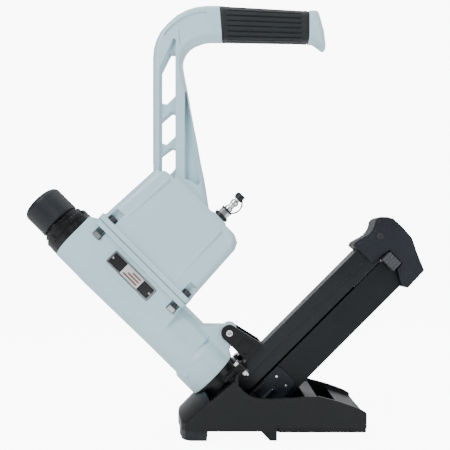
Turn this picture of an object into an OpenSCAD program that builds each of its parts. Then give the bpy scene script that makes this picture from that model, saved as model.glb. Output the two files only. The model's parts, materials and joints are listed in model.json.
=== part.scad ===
// Flooring nailer: mallet-struck pneumatic tool on its base shoe.
// Row frame: +Z up, ground at Z = 0, +X towards the magazine, -Y towards the name plate side.
// Drive frame: its z axis (t) is the drive axis, 45 degrees up and to -X; its x axis (m) runs
// up along the magazine, 45 degrees up and to +X. Both frames share y.

/* [Frame] */
// Where the drive axis meets the ground, along X
axis_foot_x = 61.2; // [60:0.001:66]

/* [Drive tube] */
// Outer radius of the barrel at its widest
barrel_r = 36.5; // [36:0.1:36.8]
// Outer radius of the barrel at its narrow end
mid_r = 33.8; // [33.5:0.1:34.2]
// Length that the striking cap travels before it meets the collar
strike_travel = 3.6; // [3:0.1:5]
// Radius of the striking cap
strike_r = 29; // [26:0.1:29.5]
// Bore radius of the cylinder
cyl_bore = 22.5; // [21:0.1:22.8]
// Height of the rubber bumper
bumper_h = 38; // [30:1:38]

/* [Driver] */
// Width of the driver blade across the channel
blade_w = 12.4; // [11:0.1:12.5]
// Thickness of the driver blade
blade_t = 2.2; // [1.5:0.1:2.3]

/* [Magazine] */
// Half width of the magazine over the rail
mag_hw = 16; // [15.6:0.1:16]
// Half width of the fastener channel
chan_hw = 6.9; // [6.6:0.1:7.2]
// Length of the magazine rail, measured along the magazine from the drive axis
rail_end = 303; // [298:1:303]

/* [Base shoe] */
// Half width of the shoe
shoe_hw = 59; // [59:1:61]
// Wall thickness of the shoe
shoe_wall = 5; // [4:0.5:5]
// Height of the front foot pad
foot_h = 13; // [13:1:13]

/* [Handle] */
// Half thickness of the handle column
col_hy = 17.5; // [16:0.5:19]
// Half thickness of the rubber grip
grip_hy = 18; // [17.5:0.5:20]

/* [Hidden] */
gx = axis_foot_x;
xo = gx - 59.4;
cap_t = 405 + strike_travel;
$fn = 64;

casting = [0.73, 0.80, 0.83];
black = [0.12, 0.12, 0.13];
rubber = [0.16, 0.16, 0.17];
steel = [0.62, 0.62, 0.62];
bright = [0.85, 0.85, 0.86];
alloy = [0.70, 0.71, 0.72];

// --- frames and helpers -------------------------------------------------------------------
// row frame, with X measured so that the drive axis meets the ground at 59.4
module w() translate([xo, 0, 0]) children();
// drive frame
module tl() translate([gx, 0, 0]) rotate([0, -45, 0]) children();
// outline in the x-z plane, from y0 to y1
module prof(pts, y0, y1) rotate([90, 0, 0]) translate([0, 0, -y1]) linear_extrude(y1 - y0) polygon(pts);
module profc(pts, hy) prof(pts, -hy, hy);
// cylinder along z from a to b
module zc(r, a, b, fn = 64) translate([0, 0, a]) cylinder(r = r, h = b - a, $fn = fn);
// cone along z
module zk(r1, r2, a, b) translate([0, 0, a]) cylinder(r1 = r1, r2 = r2, h = b - a);
// cylinder along x from a to b at (y, z)
module xc(r, a, b, y, z, fn = 48) translate([a, y, z]) rotate([0, 90, 0]) cylinder(r = r, h = b - a, $fn = fn);
// cylinder along y from a to b at (x, z)
module yc(r, a, b, x, z, fn = 48) translate([x, b, z]) rotate([90, 0, 0]) cylinder(r = r, h = b - a, $fn = fn);
// box by corners
module bx(x0, x1, y0, y1, z0, z1) translate([x0, y0, z0]) cube([x1 - x0, y1 - y0, z1 - z0]);
// rounded rectangle
module rr(x0, x1, y0, y1, r) union() {
  translate([x0 + r, y0]) square([x1 - x0 - 2 * r, y1 - y0]);
  translate([x0, y0 + r]) square([x1 - x0, y1 - y0 - 2 * r]);
  for (x = [x0 + r, x1 - r], y = [y0 + r, y1 - r]) translate([x, y]) circle(r = r, $fn = 32);
}
// slab of the magazine direction: rounded rectangle across (y, t), from m0 to m1
module slab(m0, m1, hy, t0, t1, r) translate([m0, 0, 0]) rotate([90, 0, 90])
  linear_extrude(m1 - m0) rr(-hy, hy, t0, t1, r);
// ring of round section about z
module torus(R, r, z) translate([0, 0, z]) rotate_extrude($fn = 48) translate([R, 0]) circle(r = r, $fn = 16);
// coil about z, between a and b
module coil(R, r, a, b, turns) {
  n = 12; k = 6; N = round(turns * n);
  pts = [for (i = [0 : N], j = [0 : k - 1]) let (p = 360 * i / n, q = 360 * j / k,
      rr = R + r * cos(q), z = a + r + (b - a - 2 * r) * i / N + r * sin(q))
      [rr * cos(p), rr * sin(p), z]];
  faces = concat([[for (j = [0 : k - 1]) j]], [[for (j = [k - 1 : -1 : 0]) N * k + j]],
    [for (i = [0 : N - 1], j = [0 : k - 1]) [i * k + j, (i + 1) * k + j, (i + 1) * k + (j + 1) % k, i * k + (j + 1) % k]]);
  polyhedron(points = pts, faces = faces, convexity = 6);
}
bolt_t = [353.9, 213.9];
bolt_y = 35;

// --- drive tube ---------------------------------------------------------------------------
module main_housing() color(casting) tl() difference() {
  union() {
    rotate_extrude() polygon([[0, 108], [mid_r + 3.2, 108], [mid_r + 3.2, 142.5], [mid_r, 147.5], [mid_r + 0.3, 200],
      [barrel_r, 325], [barrel_r - 0.5, 345], [barrel_r - 0.5, 379], [0, 379]]);
    intersection() {
      prof([[0, 199], [38.6, 206], [38.6, 379], [0, 379]], -40, 40);
      translate([0, 0, 190]) linear_extrude(200) polygon([[-5, -24], [0, -32.8], [8, -35.7], [40, -35.7], [40, 35.7], [8, 35.7], [0, 32.8], [-5, 24]]);
    }
    // faceted back of the lower barrel
    translate([0, 0, 150]) linear_extrude(58) polygon([[0, -33.4], [15, -31.6], [30, -24], [38, -14], [40.5, -8],
      [40.5, 8], [38, 14], [30, 24], [15, 31.6], [0, 33.4]]);
    // flange for the reservoir
    slab(38.6, 46.1, 42, 203, 369.5, 8);
    // lug for the magazine bracket
    profc([[30, 172], [40.3, 166], [59.5, 146.3], [64.5, 142.6], [69.3, 134.1], [66.5, 126.3],
      [52, 122], [41, 117], [36, 109], [30, 109]], 17);
    yc(11, -17, 17, 58.8, 134.1);
    // short cooling ribs along the magazine direction, beside the name plate
    for (i = [0 : 8]) intersection() {
      zc(35.5 + 0.17 * i, 233 + 11 * i, 236.2 + 11 * i);
      bx(-29, 4, -40, 40, 230, 330);
    }
    // round boss low on the barrel
    yc(5.2, -32.4, -20, -20, 139);
  }
  zc(30, 206, 380);
  zc(31.2, 214, 298);
  zc(31.2, 307, 330);
  zc(25.8, 192, 207);
  zc(15, 185, 193);
  zc(27, 107, 186);
  bx(20, 47, -26, 26, 222, 347);
  bx(15, 38.6, -31, 31, 223.5, 344.5);
  for (t = bolt_t, s = [-1, 1]) {
    bx(24.2, 38.6, s > 0 ? 29.5 : -43, s > 0 ? 43 : -29.5, t - 6.5, t + 6.5);
    xc(2.9, 38, 47, s * bolt_y, t);
  }
  for (a = [60, 120, 240, 300]) rotate([0, 0, a]) translate([31.8, 0, 0]) zc(2.6, 107, 126, 32);
  yc(4.5, -20, 20, 58.8, 134.1);
}

module head_cap() color(black) tl() difference() {
  union() {
    rotate_extrude() polygon([[11, 360], [27.4, 360], [27.4, 332], [29.9, 332], [29.9, 379],
      [35.4, 379], [35.4, 387.6], [34.2, 388.3], [34.2, 389.3], [35, 390], [35, 397], [34, 398.4], [31.2, 398.4],
      [31.2, 404], [30.4, 405], [15, 405],
      [15, 385], [11, 385]]);
  }
  // spanner flats of the upper tier
  for (i = [0 : 7]) rotate([0, 0, 45 * i + 22.5]) translate([37.4, 0, 0]) zc(4.4, 391, 400, 24);
  // groove for the seal
  difference() { zc(31, 368, 370.6); zc(28.1, 367, 371); }
}
module head_cap_oring() color(rubber) tl() torus(29.05, 0.9, 369.3);

module plunger_bushing() color([0.72, 0.56, 0.28]) tl() difference() { zc(11, 361, 385); zc(8, 360, 386); }
module strike_plunger() color(steel) tl() difference() {
  union() { zc(7.95, 352, cap_t + 1); zc(20, cap_t, cap_t + 5); zc(7.95, cap_t + 5, 430); }
  difference() { zc(9, 358, 359.6); zc(6.9, 357, 360); }
}
module plunger_clip() color(steel) tl() difference() { zc(10.5, 358, 359.6); zc(6.9, 357, 360); }
module plunger_spring() color(steel) tl() coil(11.6, 1.1, 385, cap_t, 4);
module strike_cap() color(rubber) tl() difference() {
  rotate_extrude() polygon([[0, cap_t], [strike_r - 1, cap_t], [strike_r, cap_t + 1], [strike_r, 443.5], [strike_r - 0.9, 446.4],
    [strike_r - 3.3, 448.8], [strike_r - 7.5, 450.1], [16, 450.5], [0, 450.5]]);
  zc(20, cap_t - 1, cap_t + 5);
  zc(7.95, cap_t + 4, 430);
}

module head_valve() color(alloy) tl() difference() {
  union() { zc(25.6, 322, 333); zc(27.1, 333, 342); }
  difference() { zc(28, 336.2, 338.6); zc(25.1, 336, 339); }
  zc(16, 334, 343);
}
module head_valve_seal() color(rubber) tl() torus(26.15, 0.95, 337.4);
module head_valve_spring() color(steel) tl() coil(19.5, 1.2, 342, 360, 3);

module cylinder_sleeve() color(alloy) tl() difference() {
  union() { zc(25.6, 192, 322); zc(29.8, 206, 212); zc(29.8, 300, 305); }
  zc(cyl_bore, 191, 323);
  for (i = [0 : 11]) rotate([0, 0, 30 * i]) translate([27.9, 0, 0]) zc(1.4, 299, 306, 16);
  difference() { zc(27, 197.5, 200.1); zc(24.3, 197, 201); }
  for (i = [0 : 7]) rotate([0, 0, 45 * i]) xc(2, 20, 27, 0, 236, 16);
}
module cylinder_orings() color(rubber) tl() torus(25.05, 0.75, 198.8);

module piston() color(alloy) tl() difference() {
  union() { zc(22.4, 300, 318); zc(9, 292, 301); }
  difference() { zc(23, 306, 309.2); zc(19.6, 305, 310); }
  bx(-blade_t / 2, blade_t / 2, -blade_w / 2, blade_w / 2, 291, 312);
  xc(2.5, -8.5, 8.5, 0, 302, 32);
  difference() { zc(17, 311, 319); zc(6, 310, 320); }
}
module piston_ring() color(rubber) tl() difference() { zc(22.4, 306.1, 309.1); zc(19.6, 305, 310); }
module driver_pin() color(steel) tl() xc(2.5, -8.5, 8.5, 0, 302, 32);
module driver_blade() color(steel) tl() difference() {
  bx(-blade_t / 2, blade_t / 2, -blade_w / 2, blade_w / 2, 75, 311);
  xc(2.5, -10, 10, 0, 302, 32);
}
module bumper() color(rubber) tl() difference() {
  union() { zc(22.2, 192, 200); zk(22.2, 18, 200, 192 + bumper_h); }
  zc(9.4, 191, 193 + bumper_h);
}

module nose_ring() color(black) tl() difference() {
  union() {
    zc(35, 91, 108);
    for (s = [-1, 1]) { translate([37, s * 31, 0]) zc(8, 91, 97.5, 32); bx(10, 37, s > 0 ? 15 : -39, s > 0 ? 39 : -15, 91, 97.5); }
  }
  zc(19, 90, 109);
  for (a = [60, 120, 240, 300]) rotate([0, 0, a]) translate([31.8, 0, 0]) zc(2.6, 90, 109, 32);
  for (s = [-1, 1]) { translate([37, s * 31, 0]) zc(3.1, 90, 98, 32); translate([0, s * 23, 0]) zc(2, 97.5, 109, 24); }
}
// through bolts with nuts, in the ears of the ring
module nose_bolts() color(bright) tl() for (s = [-1, 1]) translate([37, s * 31, 0]) union() {
  zc(5.8, 97.5, 101.8, 6);
  zc(3.1, 77.5, 98, 32);
  zc(5.8, 80.5, 85.5, 6);
}
module nose_screws() color(steel) tl() for (a = [60, 120, 240, 300]) rotate([0, 0, a]) translate([31.8, 0, 0]) difference() {
  union() { zc(4.6, 80.5, 85.5, 32); zc(2.6, 85, 124, 32); }
  zc(2.2, 79, 83.5, 6);
}

module driver_guide() color(steel) tl() difference() {
  union() {
    zc(26.8, 108, 115);
    profc([[-12, 109], [-12, 30.4], [-3.5, 21.9], [-3.5, 3.5], [6.2, -6.2], [12.4, 0], [14.1, 1.8],
      [14.1, 14.5], [10, 14.5], [10, 109]], 13);
  }
  // driver channel
  bx(-1.4, 1.4, -6.4, 6.4, -20, 120);
  // fastener entry from the magazine
  bx(0, 11, -chan_hw, chan_hw, 17.5, 72);
  for (s = [-1, 1]) translate([0, s * 23, 0]) zc(2, 107, 116, 24);
  for (z = [42, 51]) { yc(1.7, -14, -9, -6, z, 24); yc(1.7, 9, 14, -6, z, 24); }
}
module guide_screws() color(steel) tl() for (s = [-1, 1]) translate([0, s * 23, 0]) difference() {
  union() { zc(3.4, 115, 118.5, 32); zc(2, 99, 115.5, 24); }
  zc(1.6, 116.5, 119, 6);
}

module name_plate() color([0.05, 0.05, 0.06]) tl() difference() {
  translate([0, -36, 0]) rotate([90, 0, 0]) linear_extrude(1.2) rr(11.7, 31.5, 245, 321, 1.6);
  translate([0, -36.9, 0]) rotate([90, 0, 0]) linear_extrude(1) difference() { rr(12.6, 30.6, 246, 320, 1.2); rr(13.4, 29.8, 246.8, 319.2, 1); }
}
module plate_rivets() color(bright) tl() for (t = [249.5, 316.5]) yc(1.3, -37.9, -37.2, 21.6, t, 24);

// --- reservoir and handle -----------------------------------------------------------------
col_outline = [[-100.1, 345], [-100.1, 515.8], [-98.7, 529.8], [-95.2, 541], [-89.6, 552.2],
  [-79.8, 563.4], [-67.2, 574.6], [-53.2, 582.3], [-39.2, 586.5], [-25.2, 588], [20, 588.4],
  [20, 541.4], [-4, 541.6], [-21, 541.8], [-30.8, 540.3], [-42, 536.1], [-49, 531.2], [-54.6, 524.2],
  [-58.1, 515.8], [-58.8, 507.4], [-57.4, 499], [-55.3, 487.8], [-51.1, 466.8], [-47.6, 445.8],
  [-43.9, 424.8], [-40.4, 408], [-37, 389.8], [-33.8, 371.6], [-29.3, 350.6], [-26.4, 333.8],
  [-23.7, 315.6], [-22, 305.8], [-12, 290], [-95, 290]];
// half thickness and inset of the layers that round a handle's edges
layers = [[0.3, 0], [0.54, 0.6], [0.72, 1.7], [0.85, 3.2], [0.94, 5.2], [1, 7.6]];
module rounded(pts, hy) for (l = layers) translate([0, l[0] * hy, 0]) rotate([90, 0, 0])
  linear_extrude(2 * l[0] * hy) offset(delta = -l[1]) polygon(pts);
win1 = [[-88.6, 453], [-88.6, 498.5], [-76, 524], [-68.8, 524], [-68.8, 462.5], [-80.4, 451.1]];
win2 = [[-88.6, 398], [-88.6, 428.5], [-74.5, 441], [-68.8, 440.2], [-68.8, 406.5], [-81, 395.4]];
win3 = [[-88.6, 350.5], [-88.6, 380.5], [-74.5, 391], [-68.8, 390.2], [-68.8, 362], [-79.6, 350.8]];
module handle_housing() color(casting) difference() {
  union() {
    tl() {
      slab(46.9, 54.4, 42, 203, 369.5, 8);
      hull() {
        slab(54, 54.8, 37, 204, 367.6, 12);
        slab(143, 144, 34, 209.2, 364, 14);
        slab(152.6, 153.4, 31, 213.4, 360.4, 14);
        slab(158.4, 159.1, 27, 224, 350, 14);
      }
      // inlet boss
      xc(13, 150, 161.4, 0, 256);
      // long shallow lines of the reservoir's flanks
      for (s = [-1, 1]) prof([[60, 342], [150, 338], [150, 341], [60, 345]], s > 0 ? 30 : -37.2, s > 0 ? 37.2 : -30);
      for (s = [-1, 1]) prof([[60, 236], [150, 240], [150, 243], [60, 239]], s > 0 ? 30 : -37.2, s > 0 ? 37.2 : -30);
    }
    w() intersection() {
      rounded(col_outline, col_hy);
      profc([[-130, 280], [-130, 600], [-7.716, 600], [-7.716, 589.7], [-3.884, 540.1], [-3.884, 280]], 40);
    }
    // bar that carries the grip
    w() translate([-10, 0, 0]) rotate([90, 0, 90]) linear_extrude(126) translate([0, 562.8]) rr(-12.5, 12.5, -18, 18, 9);
  }
  // reservoir cavity
  tl() difference() {
    hull() {
      slab(54.4, 55, 33, 209, 362, 9);
      slab(146, 146.6, 29.4, 214, 357, 10);
      slab(153.6, 154, 23.6, 222, 348, 10);
    }
    // walls around the pockets of the bolt heads
    for (t = bolt_t, s = [-1, 1]) xc(10.2, 50, 75.2, s * 36.5, t);
    // solid foot under the column's windows
    bx(133, 160, -40, 40, 329.5, 370);
  }
  tl() bx(46, 56, -26, 26, 222, 347);
  // hollow of the bend
  w() prof([[-84, 536], [-75, 552], [-60, 566], [-44, 574], [-30, 577], [-30, 549], [-46, 545], [-58, 537], [-64, 528], [-84, 528]], -9.5, 9.5);
  // seats for the bolt heads
  tl() for (t = bolt_t, s = [-1, 1]) { xc(7, 54.4, 72, s * 36.5, t); xc(2.9, 46, 55, s * bolt_y, t); }
  tl() xc(8, 152, 163, 0, 256);
  // grip bar bore, for the end cap's spigot, and the hollow of the bar
  w() xc(8, 90, 117, 0, 562.8);
  w() translate([-36, 0, 0]) rotate([90, 0, 90]) linear_extrude(130) translate([0, 562.8]) rr(-8.4, 8.4, -13.6, 13.6, 6);
  w() for (s = [-1, 1]) {
    // sunk lane of the windows
    prof([[-89.8, 350], [-89.8, 499], [-77, 526], [-70.5, 540.5], [-67.6, 538], [-67.6, 346], [-79.6, 331.5]],
      s > 0 ? 11 : -30, s > 0 ? 30 : -11);
    // hollow flank right of the middle rib
    prof([[-55.2, 348], [-55.2, 470], [-54.4, 470], [-45, 412], [-36, 358], [-33.6, 344], [-37, 338], [-49, 346]],
      s > 0 ? 6 : -30, s > 0 ? 30 : -6);
    // sunk face of the bend
    prof([[-64, 553], [-79, 548], [-85.6, 541], [-79.8, 551.4], [-70.5, 560], [-58, 568.5], [-45, 574.5],
      [-24.5, 577], [-24.5, 551], [-38, 546], [-50, 539], [-58, 531], [-62, 531]],
      s > 0 ? 15.2 : -30, s > 0 ? 30 : -15.2);
  }
  w() { profc(win1, 30); profc(win2, 30); profc(win3, 30); }
}
module housing_gasket() color([0.25, 0.24, 0.22]) tl() difference() {
  slab(46.1, 46.9, 41.6, 203.5, 369, 8);
  bx(46, 47, -26, 26, 222, 347);
  for (t = bolt_t, s = [-1, 1]) xc(2.9, 46, 47, s * bolt_y, t);
}
module housing_bolts() color([0.2, 0.2, 0.21]) tl() for (t = bolt_t, s = [-1, 1]) difference() {
  union() { xc(2.9, 24.6, 55, s * bolt_y, t); xc(5, 54.4, 61, s * bolt_y, t); }
  xc(2.6, 57.5, 62, s * bolt_y, t, 6);
}
module housing_nuts() color(bright) tl() for (t = bolt_t, s = [-1, 1]) difference() {
  bx(25.2, 31.2, s * bolt_y - 5, s * bolt_y + 5, t - 5, t + 5);
  xc(2.9, 25, 32, s * bolt_y, t);
}
module grip_sleeve() color(rubber) w() difference() {
  hull() {
    translate([-7.8, 0, 0]) rotate([90, 0, 90]) linear_extrude(1) translate([0, 564.9]) rr(-grip_hy, grip_hy, -23.7, 23.7, 14);
    translate([-4.2, 0, 0]) rotate([90, 0, 90]) linear_extrude(1) translate([0, 564.7]) rr(-grip_hy, grip_hy, -23.9, 23.9, 14);
    translate([115, 0, 0]) rotate([90, 0, 90]) linear_extrude(1) translate([0, 560.2]) rr(-grip_hy, grip_hy, -21.5, 21.5, 13);
  }
  translate([-12, 0, 0]) rotate([90, 0, 90]) linear_extrude(130) translate([0, 562.8]) rr(-12.5, 12.5, -18, 18, 9);
  // the casting's end, which the sleeve butts against
  profc([[-20, 539], [-20, 590], [-7.716, 589.7], [-3.884, 540.1]], 30);
}
module handle_end_cap() color(casting) w() difference() {
  union() {
    intersection() {
      rounded([[104, 582.3], [126, 582.3], [130.2, 580.2], [134.4, 566.2], [137.9, 553.6], [140, 535.4],
        [140, 530.2], [138.4, 528.5], [135.8, 528.4], [130.2, 532.6], [121.8, 538.6], [104, 538.9]], 17);
      bx(116, 150, -20, 20, 500, 600);
    }
    xc(8, 102, 117, 0, 562.8);
  }
  xc(3.2, 100, 142, 0, 562.8, 32);
  xc(6, 124, 142, 0, 562.8, 32);
}
module end_cap_screw() color(steel) w() difference() {
  union() { xc(3.2, 104, 124.5, 0, 562.8, 32); xc(5.6, 124, 129, 0, 562.8, 32); }
  xc(2.4, 126.5, 130, 0, 562.8, 6);
}
module inlet_bushing() color(black) tl() difference() {
  union() { xc(8, 152, 162.5, 0, 256); xc(10.6, 162, 167, 0, 256); }
  xc(5.2, 151, 168, 0, 256);
}
module air_plug() color(bright) tl() translate([0, 0, 256]) rotate([0, 90, 0]) difference() {
  union() {
    rotate_extrude() polygon([[0, 155], [5.2, 155], [5.2, 167.5], [6, 167.5], [6, 181], [4.4, 182.6], [4.4, 186.6],
      [5.9, 188], [5.9, 192.5], [3.95, 194.2], [3.95, 200], [0, 200]]);
    zc(8.2, 167, 174.5, 6);
  }
  zc(2.6, 154, 201, 32);
}
module dust_cap() color(rubber) tl() difference() {
  union() { xc(5.8, 196.8, 206, 0, 256, 32); xc(6.5, 196.8, 199, 0, 256, 32); bx(199, 204.5, -2, 2, 261, 263.4); }
  xc(4.25, 196, 201.2, 0, 256, 32);
}
module dust_cap_tether() color(rubber) tl() difference() {
  union() {
    xc(8.8, 174.7, 177.2, 0, 256, 32);
    prof([[175, 249], [179.5, 245.2], [184, 243.2], [189, 242.8], [194.5, 244.2], [199, 247.4], [201.6, 250.4],
      [198.4, 250.6], [196.8, 248.6], [193.4, 246.2], [189, 244.8], [184.4, 245.2], [180.8, 247], [177.2, 249.4]], -2.2, 2.2);
  }
  xc(6.4, 174, 178, 0, 256, 32);
  xc(5.8, 196, 207, 0, 256, 32);
  xc(6.5, 196.8, 199, 0, 256, 32);
}

// --- base ---------------------------------------------------------------------------------
module plan(d) polygon([for (s = [1, -1]) each s > 0 ?
  [[200, shoe_hw - d], [-40 + 0.3 * d, shoe_hw - d], [-52 + 0.6 * d, shoe_hw - 3 - 0.9 * d], [-57.5 + 0.8 * d, shoe_hw - 9 - 0.6 * d], [-62 + 0.95 * d, 30], [-64.5 + d, 15], [-65 + d, 0]] :
  [[-64.5 + d, -15], [-62 + 0.95 * d, -30], [-57.5 + 0.8 * d, -(shoe_hw - 9 - 0.6 * d)], [-52 + 0.6 * d, -(shoe_hw - 3 - 0.9 * d)], [-40 + 0.3 * d, -(shoe_hw - d)], [200, -(shoe_hw - d)]]]);
shoe_side = [[-66, 13], [-66, 28.7], [-30.4, 64.3], [-21.9, 55.8], [-19.5, 51.9], [12.3, 77.5], [14.5, 87.1], [17.5, 87.4],
  [17.5, 73.1], [24.8, 65.5], [32.6, 59.8], [44.7, 56.4], [58.6, 55.7], [123.2, 58.6], [149.8, 51.8], [171.9, 44], [180, 40.4],
  [184.9, 37.2], [184.9, 17.5], [68.4, 17.5], [68.4, 13]];
module base_shoe() color(black) w() difference() {
  union() {
    difference() {
      intersection() {
        translate([0, 0, 12]) linear_extrude(80) plan(0);
        profc(shoe_side, shoe_hw);
        // crowned hood in front of the ring
        union() {
          translate([-xo, 0, 0]) tl() xc(132, -140, -17.9, 0, -23.5, 96);
          translate([-xo, 0, 0]) tl() bx(-18, 220, -70, 70, -100, 200);
        }
      }
      // inside: above the deck, below the deck, under the hood, and the open rear
      intersection() {
        translate([0, 0, 10]) linear_extrude(90) plan(shoe_wall);
        union() {
          translate([-xo, 0, 0]) tl() bx(-18, 120, -70, 70, 91, 150);
          profc([[-44.515, 17], [17, 78.515], [17, 17]], 70);
          profc([[16.9, 17], [16.9, 100], [179.9, 100], [179.9, 20.5], [74, 20.5], [70, 17]], 70);
        }
      }
      intersection() {
        translate([0, 0, 17]) linear_extrude(90) plan(shoe_wall + 1);
        translate([-xo, 0, 0]) tl() xc(126, -140, -41, 0, -23.5, 96);
      }
      profc([[179.8, 33.4], [186, 33.4], [186, 60], [179.8, 60]], shoe_hw - shoe_wall);
    }
    // deck ears for the through bolts
    translate([-xo, 0, 0]) tl() for (s = [-1, 1]) { translate([37, s * 31, 0]) zc(8, 85.5, 91, 32); bx(18, 37, s > 0 ? 23 : -39, s > 0 ? 39 : -23, 85.5, 91); }
    // cross webs with wide tops
    profc([[104.9, 52.4], [104.9, 56], [121.8, 56], [121.8, 52.4], [115.4, 50], [115.4, 20], [111.4, 20], [111.4, 50]], 55);
    profc([[150, 40.6], [150, 45], [168, 39.2], [168, 35.2], [161, 35.8], [161, 20], [157, 20], [157, 37]], 55);
    profc([[167, 35.4], [167, 39.5], [181, 34.2], [181, 30]], 55);
    // lip that hooks over the board's edge
    for (s = [-1, 1]) prof([[46, 13.4], [58.6, 0], [68.2, 0], [68.2, 11.6], [67.8, 11.6], [67.8, 13.4]], s > 0 ? 13.6 : -55, s > 0 ? 55 : -13.6);
    // screw bosses
    for (x = [86, 172], s = [-1, 1]) translate([x, s * 47.5, 0]) zc(6, 17.5, 30, 32);
    for (s = [-1, 1]) translate([-38, s * 34, 0]) zc(5.6, 13, 22, 32);
  }
  // way for the nosepiece through floor and deck
  bx(24, 69, -13.6, 13.6, 10, 21);
  translate([-xo, 0, 0]) tl() {
    zc(19, 84, 92);
    // seat of the ring and room for the collar above it
    zc(35.2, 91, 150);
    zc(37.8, 107.8, 150);
    // room for the magazine's round front end
    bx(10, 40, -17, 17, 84, 92);
    for (a = [60, 120, 240, 300]) rotate([0, 0, a]) translate([31.8, 0, 0]) zc(2.6, 84, 92, 32);
    for (s = [-1, 1]) translate([37, s * 31, 0]) zc(3.1, 84, 92, 32);
  }
  for (x = [86, 172], s = [-1, 1]) translate([x, s * 47.5, 0]) zc(2.2, 16, 28, 32);
  for (s = [-1, 1]) translate([-38, s * 34, 0]) zc(2.2, 12, 21, 32);
}
module sole_plate() color([0.18, 0.18, 0.19]) w() difference() {
  translate([0, 0, 11.8]) linear_extrude(5.7) rr(68.4, 184.9, -58, 58, 4);
  for (x = [86, 172], s = [-1, 1]) translate([x, s * 47.5, 0]) { zc(2.2, 11, 18, 32); zc(4.4, 11, 14.6, 32); }
}
module sole_screws() color(steel) w() for (x = [86, 172], s = [-1, 1]) translate([x, s * 47.5, 0]) difference() {
  union() { zc(4.4, 12.2, 14.6, 32); zc(2.2, 14, 27, 32); }
  zc(1.5, 12, 13.6, 6);
}
module front_foot() color(rubber) w() difference() {
  intersection() {
    linear_extrude(foot_h) polygon([[-23.6, 56], [-45, 56], [-52, 52.5], [-57, 45], [-61.5, 27], [-63.4, 0], [-61.5, -27], [-57, -45], [-52, -52.5], [-45, -56], [-23.6, -56]]);
    profc([[-64, 13], [-64, 5], [-62, 1.8], [-58, 0], [-23.6, 0], [-23.6, 13]], 60);
  }
  for (s = [-1, 1]) translate([-38, s * 34, 0]) { zc(2.2, -1, 14, 32); zc(4.6, -1, 4, 32); }
}
module foot_screws() color(steel) w() for (s = [-1, 1]) translate([-38, s * 34, 0]) difference() {
  union() { zc(4.6, 1.4, 4, 32); zc(2.2, 3, 20, 32); }
  zc(1.6, 1, 2.9, 6);
}

// --- magazine -----------------------------------------------------------------------------
module magazine_rail() color(black) tl() difference() {
  union() {
    bx(30, rail_end, -mag_hw, mag_hw, 74, 90.5);
    bx(30, 286, -mag_hw, mag_hw, 58.5, 75);
    yc(16, -mag_hw, mag_hw, 30, 74.5);
    // ridge along both flanks
    for (s = [-1, 1]) prof([[36, 70.5], [262, 70.5], [262, 73], [36, 73]], s > 0 ? 15.5 : -16.8, s > 0 ? 16.8 : -15.5);
  }
  bx(10, 290, -chan_hw, chan_hw, 50, 72);
  // hollow of the extrusion
  bx(60, 268, -11, 11, 76.5, 86.5);
  for (m = [56, 72], s = [-1, 1]) translate([m, s * 13, 0]) zc(1.7, 79, 91.5, 24);
  for (s = [-1, 1]) yc(2.5, s > 0 ? 8 : -17, s > 0 ? 17 : -8, 298, 82.3, 24);
}
module magazine_side_near() color([0.10, 0.10, 0.11]) tl() prof([[10.2, 15.4], [16, 15.4], [16, 13.2], [286, 13.2], [286, 55.4], [10.2, 55.4]], -13, -chan_hw);
module magazine_side_far() color([0.10, 0.10, 0.11]) tl() prof([[10.2, 15.4], [16, 15.4], [16, 13.2], [286, 13.2], [286, 58.5], [10.2, 58.5]], chan_hw, 13);
cheek = [[-10, 36], [-10, 54], [-8, 55.4], [72, 55.4], [75, 48], [75, 26], [70, 20], [22, 16.2], [9.7, 16.2]];
module magazine_cheek_near() color(black) tl() difference() {
  union() {
    prof(cheek, -17, -13);
    for (m = [23.4, 46.2]) bx(m, m + 2.8, -23, -16.5, 35, 41);
  }
  xc(1.3, 23, 50, -20, 38, 24);
  for (z = [42, 51]) yc(1.7, -18, -12, -6, z, 24);
  for (z = [28, 46]) yc(1.7, -18, -12, 62, z, 24);
}
module magazine_cheek_far() color(black) tl() difference() {
  prof(cheek, 13, 17);
  for (z = [42, 51]) yc(1.7, 12, 18, -6, z, 24);
  for (z = [28, 46]) yc(1.7, 12, 18, 62, z, 24);
}
module cheek_screws() color(bright) tl() for (s = [-1, 1]) {
  for (z = [42, 51]) yc(1.7, s > 0 ? 9 : -17, s > 0 ? 17 : -9, -6, z, 24);
  for (z = [28, 46]) yc(1.7, s > 0 ? 13 : -17, s > 0 ? 17 : -13, 62, z, 24);
}
cap_outline = [[264.2, 88], [263.2, 98.4], [268, 100.4], [276, 98.6], [284, 96.1], [290, 94.9], [296, 95.6], [302, 97.6],
  [308, 101.6], [313, 102.3], [317, 100.6], [323.5, 94], [328, 86.2], [328.6, 68], [327.3, 49.5], [317.7, 30], [307.6, 6.2],
  [274.8, 5], [270.9, 13], [277, 24], [283, 34], [286.6, 40], [286.6, 60.5], [264.2, 66]];
module magazine_end_cap() color(black) tl() difference() {
  profc(cap_outline, 20);
  // seat of the rail and room for the pusher
  bx(255, rail_end, -mag_hw, mag_hw, 74, 90.5);
  bx(255, 302, -mag_hw, mag_hw, 13.2, 74.1);
  bx(255, 270, -17, 17, 70, 73.5);
  // notch of the knob
  bx(262, 293.5, -21, -15, 34, 60);
  for (s = [-1, 1]) { yc(2.5, s > 0 ? 14 : -21, s > 0 ? 21 : -14, 298, 82.3, 24); yc(5, s > 0 ? 18.6 : -21, s > 0 ? 21 : -18.6, 298, 82.3, 32); }
}
module magazine_screws() color([0.25, 0.25, 0.26]) tl() for (s = [-1, 1]) difference() {
  union() { yc(2.5, s > 0 ? 9 : -19, s > 0 ? 19 : -9, 298, 82.3, 24); yc(5, s > 0 ? 18.6 : -20.6, s > 0 ? 20.6 : -18.6, 298, 82.3, 32); }
  yc(2, s > 0 ? 19.6 : -21, s > 0 ? 21 : -19.6, 298, 82.3, 6);
}
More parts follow.
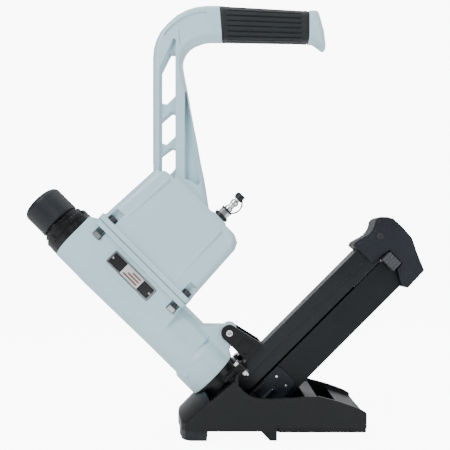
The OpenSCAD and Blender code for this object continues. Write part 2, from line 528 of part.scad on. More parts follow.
module magazine_latch() color([0.2, 0.2, 0.21]) tl() difference() {
  union() {
    bx(26.8, 45.6, -20.8, -17.4, 38, 55);
    xc(2.7, 26.8, 45.6, -20, 38, 32);
    prof([[26.8, 53.4], [45.6, 53.4], [45.6, 55.2], [26.8, 55.2]], -26, -17.4);
  }
  xc(1.35, 26, 46.5, -20, 38, 24);
}
module latch_pin() color(bright) tl() xc(1.3, 23.4, 49, -20, 38, 24);

module support_bracket() color(black) tl() difference() {
  union() {
    for (s = [-1, 1]) {
      prof([[48.6, 90.5], [48, 107.5], [47.9, 131.6], [51, 140], [58.8, 144], [66.6, 141.8], [69.6, 136], [78.9, 97], [78.9, 90.5]],
        s > 0 ? 17 : -22.5, s > 0 ? 22.5 : -17);
      yc(11.4, s > 0 ? 17 : -22.5, s > 0 ? 22.5 : -17, 58.8, 134.1);
      prof([[54, 97.5], [54, 113], [66.5, 116], [71, 97.5]], s > 0 ? 22 : -23.4, s > 0 ? 23.4 : -22);
    }
    bx(48.6, 78.9, -22.5, 22.5, 90.5, 95.6);
  }
  yc(4.5, -25, 25, 58.8, 134.1);
  for (m = [56, 72], s = [-1, 1]) translate([m, s * 13, 0]) zc(1.7, 88, 97, 24);
}
module support_pin() color(bright) tl() difference() { yc(4.5, -24.6, 24.6, 58.8, 134.1); yc(2.5, -26, 26, 58.8, 134.1); }
module bracket_screws() color(steel) tl() for (m = [56, 72], s = [-1, 1]) translate([m, s * 13, 0]) difference() {
  union() { zc(3.4, 95.6, 98.8, 32); zc(1.7, 80, 96, 24); }
  zc(1.6, 97.2, 100, 6);
}
module pusher() color(steel) tl() difference() {
  union() {
    bx(225, 233, -6.4, 6.4, 20, 69.8);
    bx(225, 290, -6.4, 6.4, 45, 69.8);
    bx(274, 291, -17.3, -6, 55.8, 58.2);
  }
  xc(4, 236, 292, 0, 52, 24);
  yc(8.4, -5, 5, 262, 61, 48);
  bx(253.6, 270.4, -5, 5, 61, 71);
}
module pusher_knob() color([0.45, 0.46, 0.48]) tl() difference() {
  bx(276, 291, -29, -17.3, 37.5, 58.6);
  for (i = [0 : 3]) bx(275, 292, -30, -28, 40 + 4.4 * i, 42 + 4.4 * i);
}
module pusher_spring() color(bright) tl() bx(12, 262, -4.6, 4.6, 70.6, 71);
module spring_drum() color(bright) tl() difference() { yc(8, -4.6, 4.6, 262, 61.6, 48); yc(4, -5, 5, 262, 61.6, 32); }

main_housing();
head_cap();
head_cap_oring();
plunger_bushing();
strike_plunger();
plunger_clip();
plunger_spring();
strike_cap();
head_valve();
head_valve_seal();
head_valve_spring();
cylinder_sleeve();
cylinder_orings();
piston();
piston_ring();
driver_pin();
driver_blade();
bumper();
nose_ring();
nose_bolts();
nose_screws();
driver_guide();
guide_screws();
name_plate();
plate_rivets();
handle_housing();
housing_gasket();
housing_bolts();
housing_nuts();
grip_sleeve();
handle_end_cap();
end_cap_screw();
inlet_bushing();
air_plug();
dust_cap();
dust_cap_tether();
base_shoe();
sole_plate();
sole_screws();
front_foot();
foot_screws();
magazine_rail();
magazine_side_near();
magazine_side_far();
magazine_cheek_near();
magazine_cheek_far();
cheek_screws();
magazine_end_cap();
magazine_screws();
magazine_latch();
latch_pin();
support_bracket();
support_pin();
bracket_screws();
pusher();
pusher_knob();
pusher_spring();
spring_drum();
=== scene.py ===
import bpy, bmesh, json, math
import numpy as np
from mathutils import Vector, Matrix


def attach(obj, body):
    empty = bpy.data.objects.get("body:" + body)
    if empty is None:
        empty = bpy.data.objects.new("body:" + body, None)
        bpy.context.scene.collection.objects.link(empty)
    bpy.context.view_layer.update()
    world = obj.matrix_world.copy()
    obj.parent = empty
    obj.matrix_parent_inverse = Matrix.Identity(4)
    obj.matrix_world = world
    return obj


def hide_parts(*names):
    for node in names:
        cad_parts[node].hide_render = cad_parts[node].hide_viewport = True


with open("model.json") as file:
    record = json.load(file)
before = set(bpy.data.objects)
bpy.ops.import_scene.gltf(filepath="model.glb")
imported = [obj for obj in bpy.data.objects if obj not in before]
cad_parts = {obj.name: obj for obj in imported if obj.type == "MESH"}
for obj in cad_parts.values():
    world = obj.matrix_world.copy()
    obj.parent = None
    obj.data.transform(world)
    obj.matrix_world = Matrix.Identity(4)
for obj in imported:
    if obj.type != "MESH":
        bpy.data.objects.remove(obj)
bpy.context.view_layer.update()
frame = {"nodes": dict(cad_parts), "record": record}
NODES = frame["nodes"]
BODIES = frame["record"]["behaviour"]["bodies"]
SLOTS = {s["node"]: s["material_slot"] for s in frame["record"]["subparts"]}
BODY = {n: b for b, ns in BODIES.items() for n in ns}

MM = 0.001
XO, GX, S = 1.8, 61.2, 2 ** -0.5


# --- frames (input in millimetres, output in metres) ---
def W(x, y, z):
    return Vector(((x + XO) * MM, y * MM, z * MM))


def L(m, y, t):
    return Vector(((GX + (m - t) * S) * MM, y * MM, (m + t) * S * MM))


# --- materials ------------------------------------------------------------
def new_mat(name):
    m = bpy.data.materials.new(name)
    m.use_nodes = True
    nt = m.node_tree
    b = nt.nodes["Principled BSDF"]
    return m, nt, b


def node(nt, kind, **kw):
    n = nt.nodes.new(kind)
    for k, v in kw.items():
        setattr(n, k, v)
    return n


def finish_mat(name, base, rough=0.4, metal=0.0, coat=0.0, coat_rough=0.15, tint=0.06, bump=0.05,
               grain=900.0, cloud=14.0, wear=None, wear_at=(0.52, 0.60), painted_crevice_shade=0.35, rough_var=0.12,
               spec=0.5, brushed=None, sheen=0.0):
    m, nt, b = new_mat(name)
    lk = nt.links.new
    tc = node(nt, "ShaderNodeTexCoord")
    src = tc.outputs["Object"]
    if brushed:
        mp = node(nt, "ShaderNodeMapping")
        mp.inputs["Rotation"].default_value = brushed[0]
        mp.inputs["Scale"].default_value = brushed[1]
        lk(src, mp.inputs["Vector"])
        fine_src = mp.outputs["Vector"]
    else:
        fine_src = src
    cl = node(nt, "ShaderNodeTexNoise")
    cl.inputs["Scale"].default_value = cloud
    cl.inputs["Detail"].default_value = 5
    lk(src, cl.inputs["Vector"])
    fine = node(nt, "ShaderNodeTexNoise")
    fine.inputs["Scale"].default_value = grain
    fine.inputs["Detail"].default_value = 3
    lk(fine_src, fine.inputs["Vector"])
    # tint
    ramp = node(nt, "ShaderNodeValToRGB")
    lo = [max(0, c * (1 - tint)) for c in base]
    hi = [min(1, c * (1 + tint)) for c in base]
    ramp.color_ramp.elements[0].position = 0.3
    ramp.color_ramp.elements[1].position = 0.7
    ramp.color_ramp.elements[0].color = (*lo, 1)
    ramp.color_ramp.elements[1].color = (*hi, 1)
    lk(cl.outputs["Fac"], ramp.inputs["Fac"])
    col = ramp.outputs["Color"]
    # painted shade: the ambient-occlusion term darkens the base colour in creases, recesses and between parts, where
    # shade falls
    if painted_crevice_shade:
        ao = node(nt, "ShaderNodeAmbientOcclusion", samples=6)
        ao.inputs["Distance"].default_value = 0.012
        mul = node(nt, "ShaderNodeMapRange")
        mul.inputs["From Min"].default_value = 0.15
        mul.inputs["From Max"].default_value = 0.85
        mul.inputs["To Min"].default_value = 1 - painted_crevice_shade
        mul.inputs["To Max"].default_value = 1.0
        lk(ao.outputs["AO"], mul.inputs["Value"])
        mx = node(nt, "ShaderNodeMix", data_type="RGBA", blend_type="MULTIPLY")
        mx.inputs["Factor"].default_value = 1.0
        lk(col, mx.inputs["A"])
        lk(mul.outputs["Result"], mx.inputs["B"])
        col = mx.outputs["Result"]
    rg = node(nt, "ShaderNodeMapRange")
    rg.inputs["From Min"].default_value = 0.3
    rg.inputs["From Max"].default_value = 0.7
    rg.inputs["To Min"].default_value = max(0.03, rough - rough_var / 2)
    rg.inputs["To Max"].default_value = min(1, rough + rough_var / 2)
    lk(cl.outputs["Fac"], rg.inputs["Value"])
    rough_out = rg.outputs["Result"]
    if wear:
        geo = node(nt, "ShaderNodeNewGeometry")
        wr = node(nt, "ShaderNodeMapRange")
        wr.inputs["From Min"].default_value = wear_at[0]
        wr.inputs["From Max"].default_value = wear_at[1]
        lk(geo.outputs["Pointiness"], wr.inputs["Value"])
        brk = node(nt, "ShaderNodeTexNoise")
        brk.inputs["Scale"].default_value = 180
        brk.inputs["Detail"].default_value = 4
        lk(src, brk.inputs["Vector"])
        th = node(nt, "ShaderNodeMapRange")
        th.inputs["From Min"].default_value = 0.42
        th.inputs["From Max"].default_value = 0.62
        lk(brk.outputs["Fac"], th.inputs["Value"])
        fac = node(nt, "ShaderNodeMath", operation="MULTIPLY")
        lk(wr.outputs["Result"], fac.inputs[0])
        lk(th.outputs["Result"], fac.inputs[1])
        amt = node(nt, "ShaderNodeMath", operation="MULTIPLY")
        amt.inputs[1].default_value = wear[1]
        lk(fac.outputs["Value"], amt.inputs[0])
        mx = node(nt, "ShaderNodeMix", data_type="RGBA")
        lk(amt.outputs["Value"], mx.inputs["Factor"])
        lk(col, mx.inputs["A"])
        mx.inputs["B"].default_value = (*wear[0], 1)
        col = mx.outputs["Result"]
    lk(col, b.inputs["Base Color"])
    lk(rough_out, b.inputs["Roughness"])
    b.inputs["Metallic"].default_value = metal
    b.inputs["Specular IOR Level"].default_value = spec
    b.inputs["Coat Weight"].default_value = coat
    b.inputs["Coat Roughness"].default_value = coat_rough
    b.inputs["Sheen Weight"].default_value = sheen
    bp = node(nt, "ShaderNodeBump")
    bp.inputs["Strength"].default_value = bump
    bp.inputs["Distance"].default_value = 0.0006
    lk(fine.outputs["Fac"], bp.inputs["Height"])
    lk(bp.outputs["Normal"], b.inputs["Normal"])
    return m


MAT = {}
MAT["housing_casting"] = finish_mat("paint_pale_blue", (0.54, 0.78, 0.87), rough=0.36, coat=0.25, coat_rough=0.22,
    tint=0.035, bump=0.10, grain=520, cloud=9, wear=((0.66, 0.76, 0.80), 0.35), painted_crevice_shade=0.30)
MAT["black_casting"] = finish_mat("paint_black", (0.0044, 0.0056, 0.0068), spec=0.31, rough=0.33, coat=0.0, coat_rough=0.25,
    tint=0.18, bump=0.16, grain=700, cloud=18, wear=((0.05, 0.052, 0.055), 0.5), painted_crevice_shade=0.25)
MAT["black_extrusion"] = finish_mat("black_anodised", (0.0060, 0.0082, 0.0100), spec=0.30, rough=0.40, metal=0.0, tint=0.15,
    bump=0.08, grain=260, cloud=20, painted_crevice_shade=0.2,
    brushed=((0, math.radians(45), 0), (0.06, 1.0, 1.0)))
MAT["black_plastic"] = finish_mat("moulded_black", (0.0095, 0.0125, 0.0180), spec=0.36, rough=0.44, tint=0.12, bump=0.22,
    grain=1500, cloud=22, wear=((0.035, 0.036, 0.038), 0.4), painted_crevice_shade=0.2)
MAT["sole_plastic"] = finish_mat("sole_black", (0.0058, 0.0062, 0.0068), spec=0.30, rough=0.48, tint=0.15, bump=0.2,
    grain=1200, cloud=24, wear=None, painted_crevice_shade=0.15)
MAT["strike_rubber"] = finish_mat("rubber_cap", (0.0100, 0.0132, 0.0175), spec=0.36, rough=0.46, tint=0.2, bump=0.3,
    grain=800, cloud=30, wear=((0.04, 0.04, 0.043), 0.5), painted_crevice_shade=0.15, sheen=0.05)
MAT["grip_rubber"] = finish_mat("rubber_grip", (0.0180, 0.0215, 0.0245), spec=0.25, rough=0.5, tint=0.12, bump=0.3,
    grain=1400, cloud=26, wear=((0.04, 0.042, 0.045), 0.4), painted_crevice_shade=0.45, sheen=0.05)
MAT["seal_rubber"] = finish_mat("rubber_seal", (0.02, 0.02, 0.02), rough=0.4, bump=0.1)
MAT["bumper_rubber"] = finish_mat("rubber_amber", (0.22, 0.10, 0.035), rough=0.4, bump=0.1)
MAT["tool_steel"] = finish_mat("ground_steel", (0.42, 0.42, 0.43), rough=0.32, metal=1.0, tint=0.1, bump=0.12,
    grain=400, brushed=((0, math.radians(45), 0), (0.08, 1, 1)), painted_crevice_shade=0.3)
MAT["spring_steel"] = finish_mat("spring_steel", (0.5, 0.5, 0.51), rough=0.28, metal=1.0, tint=0.08, bump=0.05, painted_crevice_shade=0.3)
MAT["bright_steel"] = finish_mat("zinc_bright", (0.80, 0.80, 0.81), rough=0.2, metal=1.0, tint=0.06, bump=0.06,
    grain=900, painted_crevice_shade=0.4)
MAT["dark_steel"] = finish_mat("oxide_black", (0.06, 0.062, 0.066), rough=0.36, metal=0.7, tint=0.12, bump=0.08,
    painted_crevice_shade=0.3)
MAT["alloy"] = finish_mat("turned_alloy", (0.6, 0.61, 0.62), rough=0.3, metal=1.0, bump=0.08)
MAT["bronze"] = finish_mat("bronze", (0.62, 0.42, 0.18), rough=0.3, metal=1.0, bump=0.08)
MAT["gasket_fibre"] = finish_mat("gasket", (0.16, 0.19, 0.20), rough=0.8, tint=0.15, bump=0.4, grain=2500)
MAT["plate_enamel"] = finish_mat("enamel_black", (0.008, 0.009, 0.010), rough=0.22, coat=0.4, coat_rough=0.1,
    tint=0.1, bump=0.03, painted_crevice_shade=0.2)
MAT["knob_plastic"] = finish_mat("knob_grey", (0.060, 0.063, 0.072), rough=0.45, tint=0.1, bump=0.2, grain=1400,
    painted_crevice_shade=0.3)
MAT_RAIL = finish_mat("black_anodised_rail", (0.0095, 0.0128, 0.0155), spec=0.36, rough=0.38, tint=0.15,
    bump=0.08, grain=260, cloud=20, painted_crevice_shade=0.2, brushed=((0, math.radians(45), 0), (0.06, 1.0, 1.0)))
MAT_PALE = finish_mat("enamel_pale", (0.62, 0.62, 0.61), rough=0.3, coat=0.3, tint=0.05, bump=0.03, painted_crevice_shade=0.1)
MAT_MID = finish_mat("enamel_brown", (0.16, 0.07, 0.06), rough=0.3, coat=0.3, tint=0.1, bump=0.03, painted_crevice_shade=0.1)


# --- mesh helpers ---------------------------------------------------------
def prism(bm, pts, y0, y1, fr=W):
    a = [bm.verts.new(fr(p[0], y0, p[1])) for p in pts]
    b = [bm.verts.new(fr(p[0], y1, p[1])) for p in pts]
    fs = [bm.faces.new(a), bm.faces.new(b[::-1])]
    n = len(pts)
    for i in range(n):
        fs.append(bm.faces.new((a[i], b[i], b[(i + 1) % n], a[(i + 1) % n])))
    bmesh.ops.recalc_face_normals(bm, faces=fs)
    return fs


def cyl(bm, p0, p1, r, seg=32, r2=None):
    r2 = r if r2 is None else r2
    ax = (p1 - p0).normalized()
    u = ax.orthogonal().normalized()
    v = ax.cross(u)
    a, b = [], []
    for i in range(seg):
        q = 2 * math.pi * i / seg
        d = u * math.cos(q) + v * math.sin(q)
        a.append(bm.verts.new(p0 + d * r * MM))
        b.append(bm.verts.new(p1 + d * r2 * MM))
    fs = [bm.faces.new(a), bm.faces.new(b[::-1])]
    for i in range(seg):
        fs.append(bm.faces.new((a[i], b[i], b[(i + 1) % seg], a[(i + 1) % seg])))
    bmesh.ops.recalc_face_normals(bm, faces=fs)


def lathe(bm, prof, fr=L, seg=128, dr=None):
    """prof: (r, t) closed outline away from the axis or with r = 0 at both ends"""
    rings = []
    for r, t in prof:
        if r < 1e-6:
            rings.append([bm.verts.new(fr(0, 0, t))])
        else:
            ring = []
            for i in range(seg):
                q = 2 * math.pi * i / seg
                k = r + (dr(q, r, t) if dr else 0)
                ring.append(bm.verts.new(fr(k * math.cos(q), k * math.sin(q), t)))
            rings.append(ring)
    n = len(rings)
    closed = prof[0][0] > 1e-6
    fs = []
    for k in range(n if closed else n - 1):
        a, b = rings[k], rings[(k + 1) % n]
        for i in range(seg):
            j = (i + 1) % seg
            if len(a) == 1 and len(b) == 1:
                break
            if len(a) == 1:
                fs.append(bm.faces.new((a[0], b[i], b[j])))
            elif len(b) == 1:
                fs.append(bm.faces.new((a[i], b[0], a[j])))
            else:
                fs.append(bm.faces.new((a[i], b[i], b[j], a[j])))
    bmesh.ops.recalc_face_normals(bm, faces=fs)


def obj_of(bm, name):
    me = bpy.data.meshes.new(name)
    bm.to_mesh(me)
    bm.free()
    o = bpy.data.objects.new(name, me)
    bpy.context.scene.collection.objects.link(o)
    return o


def bake_mods(o):
    dg = bpy.context.evaluated_depsgraph_get()
    me = bpy.data.meshes.new_from_object(o.evaluated_get(dg), preserve_all_data_layers=False, depsgraph=dg)
    old = o.data
    o.modifiers.clear()
    o.data = me
    bpy.data.meshes.remove(old)


def copy_bm(n):
    bm = bmesh.new()
    bm.from_mesh(NODES[n].data)
    bmesh.ops.remove_doubles(bm, verts=bm.verts, dist=2e-6)
    bmesh.ops.recalc_face_normals(bm, faces=bm.faces)
    for lay in list(bm.loops.layers.uv):
        bm.loops.layers.uv.remove(lay)
    return bm


def cut(o, cutter_bm, op="DIFFERENCE"):
    c = obj_of(cutter_bm, "cutter")
    md = o.modifiers.new("b", "BOOLEAN")
    md.operation = op
    md.object = c
    md.solver = "EXACT"
    md.use_self = True
    bake_mods(o)
    me = c.data
    bpy.data.objects.remove(c)
    bpy.data.meshes.remove(me)


def place(o, nodes, body, slot, mat=None, sharp=None):
    o.data.materials.clear()
    o.data.materials.append(mat or MAT[slot])
    o.data.shade_smooth()
    if sharp:
        o.data.set_sharp_from_angle(angle=math.radians(sharp))
    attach(o, body)
    if nodes:
        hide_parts(*nodes)
    return o


def cast(name, n, voxel=0.9, smooth=5, adds=None, cuts=None, tilt=False, crown=None):
    """A casting or moulding: the part's shape with its edges and inner corners rounded as moulds leave them."""
    bm = copy_bm(n)
    o = obj_of(bm, name)
    if cuts:
        cb = bmesh.new()
        cuts(cb)
        cut(o, cb)
    if adds:
        bm = bmesh.new()
        bm.from_mesh(o.data)
        adds(bm)
        bm.to_mesh(o.data)
        bm.free()
    rot = Matrix.Rotation(math.radians(45), 4, "Y")
    if tilt:
        o.data.transform(rot)
    md = o.modifiers.new("r", "REMESH")
    md.mode = "VOXEL"
    md.voxel_size = voxel * MM * 1.0
    md.use_smooth_shade = True
    sm = o.modifiers.new("s", "SMOOTH")
    sm.factor = 0.5
    sm.iterations = smooth
    bake_mods(o)
    if tilt:
        o.data.transform(rot.inverted())
    if crown:
        crown(o.data)
        sm = o.modifiers.new("s", "SMOOTH")
        sm.factor = 0.5
        sm.iterations = 3
        bake_mods(o)
    return place(o, [n], BODY[n], SLOTS[n])


def crowned(pts, hy, ry, rd, keep):
    """moves a stepped edge onto the quarter ellipse it stands for; pts: open run of the outline (x, z) in mm"""
    def run(me):
        n = len(me.vertices)
        co = np.empty(n * 3)
        me.vertices.foreach_get("co", co)
        v = co.reshape(-1, 3) * 1000.0
        x, y, z = v[:, 0] - XO, v[:, 1], v[:, 2]
        near = (np.abs(y) > hy - ry - 0.3) & keep(x, z)
        idx = np.nonzero(near)[0]
        px, pz, py = x[idx], z[idx], np.abs(y[idx])
        best = np.full(len(idx), 1e9)
        nx = np.zeros(len(idx))
        nz = np.zeros(len(idx))
        for (ax, az), (bx, bz) in zip(pts, pts[1:]):
            ex, ez = bx - ax, bz - az
            k = np.clip(((px - ax) * ex + (pz - az) * ez) / (ex * ex + ez * ez), 0, 1)
            dx, dz = px - (ax + k * ex), pz - (az + k * ez)
            dd = np.hypot(dx, dz)
            # right of the run's direction is inside
            side = (ez * (px - ax) - ex * (pz - az)) / math.hypot(ex, ez)
            sel = dd < best
            best = np.where(sel, dd, best)
            nx = np.where(sel, ez / math.hypot(ex, ez), nx)
            nz = np.where(sel, -ex / math.hypot(ex, ez), nz)
            sgn = np.where(sel, np.sign(side), 0)
            if ax == pts[0][0] and az == pts[0][1]:
                s_all = sgn
            else:
                s_all = np.where(sel, sgn, s_all)
        d = best * np.where(s_all < 0, -1, 1)
        u = (rd - d) / rd
        w = (py - (hy - ry)) / ry
        r = np.hypot(u, w)
        ok = (u > 0.0) & (w > 0.0) & (r > 0.80) & (r < 1.16)
        f = np.where(ok, 1 / np.maximum(r, 1e-6), 1.0)
        nu, nw = u * f, w * f
        shift = np.where(ok, (rd - nu * rd) - d, 0.0)
        v[idx, 0] += nx * shift
        v[idx, 2] += nz * shift
        v[idx, 1] = np.where(ok, np.sign(y[idx]) * (hy - ry + nw * ry), v[idx, 1])
        me.vertices.foreach_set("co", (v / 1000.0).ravel())
        me.update()
    return run


def machined(n, bevel=0.4, seg=2, angle=28, name=None, adds=None, mat=None, weighted=True):
    """A turned, milled, pressed or extruded piece: exact shape with broken edges."""
    bm = copy_bm(n)
    if adds:
        adds(bm)
    bmesh.ops.dissolve_limit(bm, angle_limit=math.radians(1.0), verts=bm.verts, edges=bm.edges)
    bm.edges.ensure_lookup_table()
    es = [e for e in bm.edges if len(e.link_faces) == 2 and e.calc_face_angle(0) > math.radians(angle)]
    bmesh.ops.bevel(bm, geom=es, offset=bevel * MM, offset_type="OFFSET", segments=seg, profile=0.6,
                    affect="EDGES", clamp_overlap=True)
    bmesh.ops.recalc_face_normals(bm, faces=bm.faces)
    o = obj_of(bm, name or n + "_piece")
    place(o, [n], BODY[n], SLOTS[n], mat=mat, sharp=40)
    if weighted:
        wn = o.modifiers.new("wn", "WEIGHTED_NORMAL")
        wn.keep_sharp = True
    return o


# --- the drive tube -------------------------------------------------------
cast("drive_tube_casting", "main_housing", voxel=0.6, smooth=5, tilt=True)


def cap_profile():
    st = 408.6
    p = [(0, st + 21.4), (7.95, st + 21.4), (7.95, st + 5), (20, st + 5), (20, st), (27.3, st), (28.4, st + 0.4), (28.9, st + 1.4)]
    for t in range(0, 30):
        tt = st + 3 + t * 1.04
        p.append((28.95 - 0.12 * math.sin(t / 29 * math.pi), tt))
    for i in range(1, 15):
        a = math.radians(i * 90 / 14)
        p.append((20.6 + 8.35 * math.cos(a), 442.3 + 7.5 * math.sin(a)))
    p += [(16, 450.1), (10, 450.35), (5, 450.42), (0, 450.45)]
    return p


bm = bmesh.new()
lathe(bm, cap_profile(), seg=160)
place(obj_of(bm, "striking_cap"), ["strike_cap"], "plunger", "strike_rubber", sharp=50)
machined("head_cap", 0.55, 2)
for n in ("strike_plunger", "nose_bolts", "nose_screws", "guide_screws", "driver_guide"):
    machined(n, 0.25, 1)
cast("nose_ring_casting", "nose_ring", voxel=0.6, smooth=3, tilt=True)


def plate_parts():
    bm = bmesh.new()
    # thin bright border
    def frame_rect(x0, x1, z0, z1, w, y0, y1):
        prism(bm, [(x0, z0), (x1, z0), (x1, z0 + w), (x0, z0 + w)], y0, y1, L)
        prism(bm, [(x0, z1 - w), (x1, z1 - w), (x1, z1), (x0, z1)], y0, y1, L)
        prism(bm, [(x0, z0 + w), (x0 + w, z0 + w), (x0 + w, z1 - w), (x0, z1 - w)], y0, y1, L)
        prism(bm, [(x1 - w, z0 + w), (x1, z0 + w), (x1, z1 - w), (x1 - w, z1 - w)], y0, y1, L)
    frame_rect(12.6, 30.6, 246, 320, 0.75, -37.15, -36.85)
    o = place(obj_of(bm, "plate_border"), [], "root", "bright_steel", sharp=30)
    bm = bmesh.new()
    prism(bm, [(13.6, 266), (29.6, 266), (29.6, 297), (13.6, 297)], -37.32, -37.1, L)
    place(obj_of(bm, "plate_panel"), [], "root", "plate_enamel", mat=MAT_PALE, sharp=30)
    bm = bmesh.new()
    for k, (a, c) in enumerate([(16.0, 18.2), (20.3, 22.5), (24.6, 26.8)]):
        prism(bm, [(a, 269), (c, 269), (c, 294 - 5 * k), (a, 294 - 5 * k)], -37.42, -37.3, L)
    place(obj_of(bm, "plate_stripes"), [], "root", "plate_enamel", mat=MAT_MID, sharp=30)


machined("name_plate", 0.2, 1)
plate_parts()
machined("plate_rivets", 0.15, 2)

# --- reservoir and handle -------------------------------------------------
COLUMN = [(-100.1, 345), (-100.1, 515.8), (-98.7, 529.8), (-95.2, 541), (-89.6, 552.2), (-79.8, 563.4), (-67.2, 574.6),
          (-53.2, 582.3), (-39.2, 586.5), (-25.2, 588), (20, 588.4)]
INNER = [(20, 541.4), (-4, 541.6), (-21, 541.8), (-30.8, 540.3), (-42, 536.1), (-49, 531.2), (-54.6, 524.2),
         (-58.1, 515.8), (-58.8, 507.4), (-57.4, 499), (-55.3, 487.8), (-51.1, 466.8), (-47.6, 445.8), (-43.9, 424.8),
         (-40.4, 408), (-37, 389.8), (-33.8, 371.6), (-29.3, 350.6)]


def above_tank(x, z):
    return ((z - (x - 59.4)) * S > 374.0) & (x < -4.5)


def handle_crown(me):
    crowned(COLUMN, 17.5, 12.25, 7.9, above_tank)(me)
    crowned(INNER, 17.5, 12.25, 7.9, above_tank)(me)


cast("handle_casting", "handle_housing", voxel=0.6, smooth=5, crown=handle_crown)
for n, b in (("housing_gasket", 0.1), ("housing_bolts", 0.4), ("housing_nuts", 0.5), ("air_plug", 0.25),
             ("inlet_bushing", 0.4), ("dust_cap", 0.5), ("dust_cap_tether", 0.4), ("end_cap_screw", 0.3)):
    machined(n, b, 2)
cast("grip_end_cap", "handle_end_cap", voxel=0.6, smooth=6)


def section(hy, hz, r, n):
    """closed outline (y, z) of a rounded rectangle, evenly spaced, from the middle of the -y side"""
    pts, k = [], 24
    for cx, cz, a0 in ((-(hy - r), hz - r, 180), (hy - r, hz - r, 90), (hy - r, -(hz - r), 0), (-(hy - r), -(hz - r), -90)):
        for i in range(k + 1):
            a = math.radians(a0 - 90 * i / k)
            pts.append((cx + r * math.cos(a), cz + r * math.sin(a)))
    pts = [(-hy, 0.0)] + pts
    d = [0.0]
    for i in range(1, len(pts) + 1):
        p, q = pts[i - 1], pts[i % len(pts)]
        d.append(d[-1] + math.hypot(q[0] - p[0], q[1] - p[1]))
    out = []
    j = 0
    for i in range(n):
        s = d[-1] * i / n
        while d[j + 1] < s:
            j += 1
        f = (s - d[j]) / max(d[j + 1] - d[j], 1e-9)
        p, q = pts[j], pts[(j + 1) % len(pts)]
        out.append((p[0] + f * (q[0] - p[0]), p[1] + f * (q[1] - p[1])))
    return out, d[-1]


def sstep(a, b, x):
    x = min(1, max(0, (x - a) / (b - a)))
    return x * x * (3 - 2 * x)


def grip():
    bm = bmesh.new()
    NV, GR = 480, 20
    xs = [0, 0.15, 0.5, 1.0, 1.8, 3, 4.5, 6, 7.5, 9, 10.5, 12, 13.5, 15, 17] + [17 + 2.2 * i for i in range(1, 40)]
    xs = [x for x in xs if x < 103]
    xs += [103, 105, 106.5, 108, 109.5, 111, 112.5, 114, 116, 118, 119.8, 121.2, 122.3, 123, 123.45, 123.7, 123.8]
    X0, X1 = -7.75, 116.0
    tot = xs[-1]
    rings = []
    for x in xs:
        f = x / tot
        hz = 23.85 + (21.4 - 23.85) * f
        cz = 564.8 + (560.2 - 564.8) * f
        hy = 17.9
        sec, per = section(hy, hz, 13.6, NV)
        end = 0.0
        if x < 1.8:
            end = 1.3 * (1 - math.sqrt(max(0, 1 - (1 - x / 1.8) ** 2)))
        if x > tot - 3.0:
            u = (x - (tot - 3.0)) / 3.0
            end = 3.0 * (1 - math.sqrt(max(0, 1 - u * u)))
        fade = sstep(9, 13, x) * (1 - sstep(tot - 12.5, tot - 8.5, x))
        ring = []
        for i, (y, z) in enumerate(sec):
            p, q = sec[i - 1], sec[(i + 1) % NV]
            nx, nz = -(q[1] - p[1]), (q[0] - p[0])
            ln = math.hypot(nx, nz)
            nx, nz = nx / ln, nz / ln
            if nx * y + nz * z < 0:
                nx, nz = -nx, -nz
            ph = (i / NV * GR + 0.5) % 1.0
            g = abs(ph - 0.5) * per / GR
            groove = 1.5 * math.exp(-(g / 0.95) ** 4) * fade
            crown = 0.25 * (1 - (g / (per / GR / 2)) ** 2) * 0 
            lip = 0.35 * (1 - sstep(6.5, 8.0, x)) + 0.35 * sstep(tot - 8.0, tot - 6.5, x) - 0.35
            k = -groove - end + min(0, lip)
            # the left end is cut along the casting's slanted end face
            zz = cz + z + nz * k
            xcut = -7.6 + 3.6 * (588.2 - zz) / 46.6
            xx = max(X0 + x, xcut) if x < 6 else X0 + x
            if x < 6:
                xx = xcut + (X0 + 6 - xcut) * (x / 6)
            ring.append(bm.verts.new(W(xx, y + nx * k, zz)))
        rings.append(ring)
    inner, _ = section(12.55, 18.05, 9, NV)
    ri = []
    for x in (xs[0], xs[-1]):
        ring = []
        for y, z in inner:
            zz = 562.8 + z
            xx = (-7.6 + 3.6 * (588.2 - zz) / 46.6) if x == xs[0] else X1
            ring.append(bm.verts.new(W(xx, y, zz)))
        ri.append(ring)
    loops = rings + [ri[1], ri[0]]
    n = len(loops)
    for k in range(n):
        a, b = loops[k], loops[(k + 1) % n]
        for i in range(NV):
            j = (i + 1) % NV
            bm.faces.new((a[i], b[i], b[j], a[j]))
    bmesh.ops.recalc_face_normals(bm, faces=bm.faces)
    o = obj_of(bm, "grip_fluted")
    return place(o, ["grip_sleeve"], "root", "grip_rubber", sharp=60)


grip()

# --- base -----------------------------------------------------------------
cast("base_shoe_casting", "base_shoe", voxel=0.55, smooth=3)
machined("sole_plate", 0.7, 3)
machined("front_foot", 1.4, 3)
machined("sole_screws", 0.25, 1)
machined("foot_screws", 0.25, 1)

# --- magazine -------------------------------------------------------------
machined("magazine_rail", 0.9, 3, mat=MAT_RAIL)
machined("magazine_side_near", 0.7, 3)
machined("magazine_side_far", 0.7, 3)
cast("magazine_cheek_near_piece", "magazine_cheek_near", voxel=0.45, smooth=3, tilt=True)
cast("magazine_cheek_far_piece", "magazine_cheek_far", voxel=0.45, smooth=3, tilt=True)
def rim_grooves(bm):
    """sunk line behind the raised rim along the end cap's upper edge, on both sides"""
    run = [(267.2, 70), (267.2, 95.2), (272, 96.2), (277, 94.8), (284.6, 92.4), (290, 91.3), (296.6, 92.2), (303, 94.4), (309, 98.2), (313, 98.8)]
    for y0, y1 in ((-21, -19.1), (19.1, 21)):
        for (am, at), (bm_, bt) in zip(run, run[1:]):
            dx, dz = bm_ - am, bt - at
            ln = math.hypot(dx, dz)
            ux, uz = dx / ln * 0.35, dz / ln * 0.35
            nx, nz = -dz / ln * 0.65, dx / ln * 0.65
            prism(bm, [(am - ux + nx, at - uz + nz), (bm_ + ux + nx, bt + uz + nz), (bm_ + ux - nx, bt + uz - nz),
                       (am - ux - nx, at - uz - nz)], y0, y1, L)


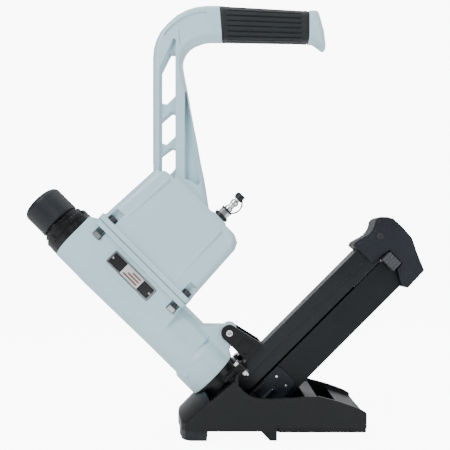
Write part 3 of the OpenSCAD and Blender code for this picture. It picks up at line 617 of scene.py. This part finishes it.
cast("magazine_end_cap_piece", "magazine_end_cap", voxel=0.5, smooth=3, tilt=True, cuts=rim_grooves)
cast("bracket_casting", "support_bracket", voxel=0.5, smooth=4, tilt=True)
for n, b in (("cheek_screws", 0.3), ("magazine_screws", 0.5), ("magazine_latch", 0.4), ("latch_pin", 0.2),
             ("support_pin", 0.35), ("bracket_screws", 0.25), ("pusher", 0.4), ("pusher_knob", 1.2)):
    machined(n, b, 2)

# everything else keeps its exact shape and takes its slot's finish
for n, o in NODES.items():
    o.data.materials.clear()
    o.data.materials.append(MAT[SLOTS[n]])

# --- stage ----------------------------------------------------------------
def stage_mesh():
    bm = bmesh.new()
    xs = [-4.0, 4.0]
    prof = [(-3.0, -0.0006)]
    for i in range(0, 13):
        a = math.radians(i * 90 / 12)
        prof.append((1.6 + 1.2 * math.sin(a), -0.0006 + 1.2 * (1 - math.cos(a))))
    prof.append((2.8, 4.5))
    rows = [[bm.verts.new((x, p[0], p[1])) for x in xs] for p in prof]
    for a, b in zip(rows, rows[1:]):
        bm.faces.new((a[0], b[0], b[1], a[1]))
    bmesh.ops.recalc_face_normals(bm, faces=bm.faces)
    o = obj_of(bm, "backdrop")
    o.data.shade_smooth()
    m, nt, b = new_mat("pale_sweep")
    b.inputs["Base Color"].default_value = (0.93, 0.935, 0.94, 1)
    b.inputs["Roughness"].default_value = 0.9
    b.inputs["Specular IOR Level"].default_value = 0.1
    b.inputs["Emission Color"].default_value = (0.98, 0.99, 1.0, 1)
    lp = node(nt, "ShaderNodeLightPath")
    mr = node(nt, "ShaderNodeMapRange")
    mr.inputs["To Min"].default_value = 0.25
    mr.inputs["To Max"].default_value = 9.0
    nt.links.new(lp.outputs["Is Camera Ray"], mr.inputs["Value"])
    nt.links.new(mr.outputs["Result"], b.inputs["Emission Strength"])
    o.data.materials.append(m)
    return o


stage_mesh()
world = bpy.data.worlds.new("studio")
bpy.context.scene.world = world
world.use_nodes = True
bg = world.node_tree.nodes["Background"]
bg.inputs["Color"].default_value = (0.96, 0.98, 1.0, 1)
bg.inputs["Strength"].default_value = 0.30


def area(name, loc, target, size, power, color=(1, 1, 1), size_y=None):
    d = bpy.data.lights.new(name, "AREA")
    d.energy = power
    d.size = size
    d.color = color
    if size_y:
        d.shape = "RECTANGLE"
        d.size_y = size_y
    o = bpy.data.objects.new(name, d)
    bpy.context.scene.collection.objects.link(o)
    o.location = loc
    o.rotation_mode = "QUATERNION"
    o.rotation_quaternion = (Vector(target) - Vector(loc)).to_track_quat("-Z", "Y")
    return o


area("key", (-0.9, -1.5, 1.7), (0, 0, 0.25), 0.9, 34)
area("fill", (1.5, -1.3, 0.9), (0, 0, 0.25), 1.2, 10, (0.97, 0.98, 1.0))
area("top", (0.0, 0.1, 2.0), (0, 0, 0.2), 1.4, 16)
area("rim", (0.9, 1.0, 1.3), (0, 0, 0.3), 0.8, 6)

cam_data = bpy.data.cameras.new("camera")
cam = bpy.data.objects.new("camera", cam_data)
bpy.context.scene.collection.objects.link(cam)
cam.location = (XO * MM, -0.850, 0.2498)
cam.rotation_euler = (math.radians(90), 0, 0)
cam_data.lens = 48.6
cam_data.sensor_width = 36
cam_data.shift_x = 0.0
cam_data.shift_y = 0.0556
cam_data.clip_start = 0.05
cam_data.clip_end = 30
bpy.context.scene.camera = cam
